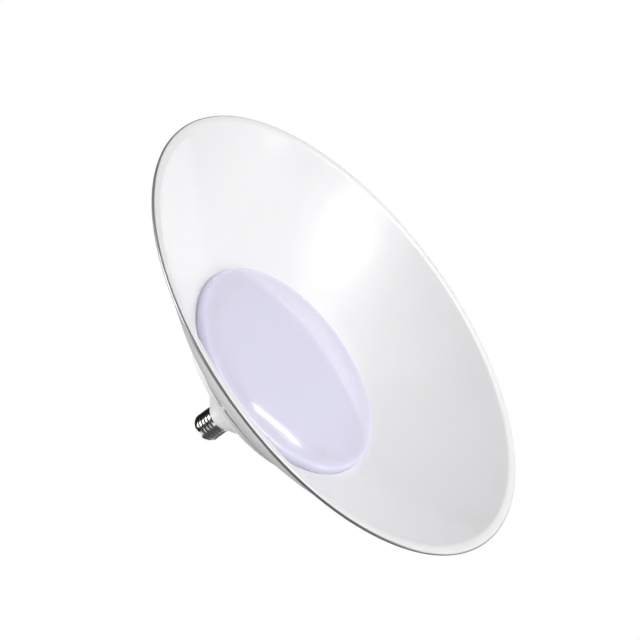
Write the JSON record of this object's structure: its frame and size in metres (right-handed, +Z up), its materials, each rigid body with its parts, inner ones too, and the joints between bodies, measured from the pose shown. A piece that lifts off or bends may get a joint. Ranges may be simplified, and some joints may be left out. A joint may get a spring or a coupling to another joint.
{
  "type": "led high bay light",
  "caption": "Screw-in LED high bay lamp: wide white reflector shade, opal disc diffuser, funnel-backed housing and a screw cap on top.",
  "frame": {"origin": "on the axis, at the seat of the screw cap where its shell meets the housing's collar", "axes": "+Z up along the axis, towards the tip of the screw cap; the shade opens towards -Z"},
  "size_m": [0.4099, 0.41, 0.1865],
  "materials": {
    "shade_paint": "gloss white powder coat",
    "white_plastic": "gloss white moulded plastic",
    "opal_plastic": "opal, polished",
    "nickel": "nickel plated brass sheet",
    "dark_insulator": "fired black insulator",
    "solder_metal": "tinned brass",
    "aluminium": "pressed sheet",
    "white_board": "white solder mask on aluminium",
    "phosphor": "phosphor in silicone",
    "screw_steel": "zinc plated",
    "black_rubber": "moulded",
    "nylon": "natural nylon",
    "circuit_board": "green solder mask",
    "black_sleeve": "shrink sleeve",
    "yellow_case": "moulded case",
    "black_mould": "moulded epoxy",
    "blue_coating": "dipped coating",
    "white_ceramic": "unglazed",
    "ferrite": "sintered",
    "yellow_tape": "polyester tape over copper wire",
    "brown_sleeve": "silicone sleeve",
    "blue_sleeve": "silicone sleeve",
    "red_sleeve": "silicone sleeve",
    "black_wire": "silicone sleeve"
  },
  "bodies": {
    "root": {"shade": "shade_paint", "diffuser": "opal_plastic", "spacer_ring": "white_plastic", "housing": "white_plastic", "heat_sink": "aluminium", "led_board": "white_board", "leds": "phosphor", "shade_screws": "screw_steel", "heat_sink_screws": "screw_steel", "board_screws": "screw_steel", "lead_grommet": "black_rubber", "board_terminals": "nylon", "board_supports": "nylon", "driver_board": "circuit_board", "input_capacitor": "black_sleeve", "output_capacitor": "black_sleeve", "choke": "black_sleeve", "film_capacitor": "yellow_case", "bridge_rectifier": "black_mould", "driver_chip": "black_mould", "varistor": "blue_coating", "fuse_resistor": "white_ceramic", "transformer_base": "black_mould", "transformer_core": "ferrite", "transformer_winding": "yellow_tape", "screw_shell": "nickel", "cap_insulator": "dark_insulator", "centre_contact": "solder_metal", "live_lead": "brown_sleeve", "neutral_lead": "blue_sleeve", "positive_led_lead": "red_sleeve", "negative_led_lead": "black_wire"}
  },
  "joints": []
}
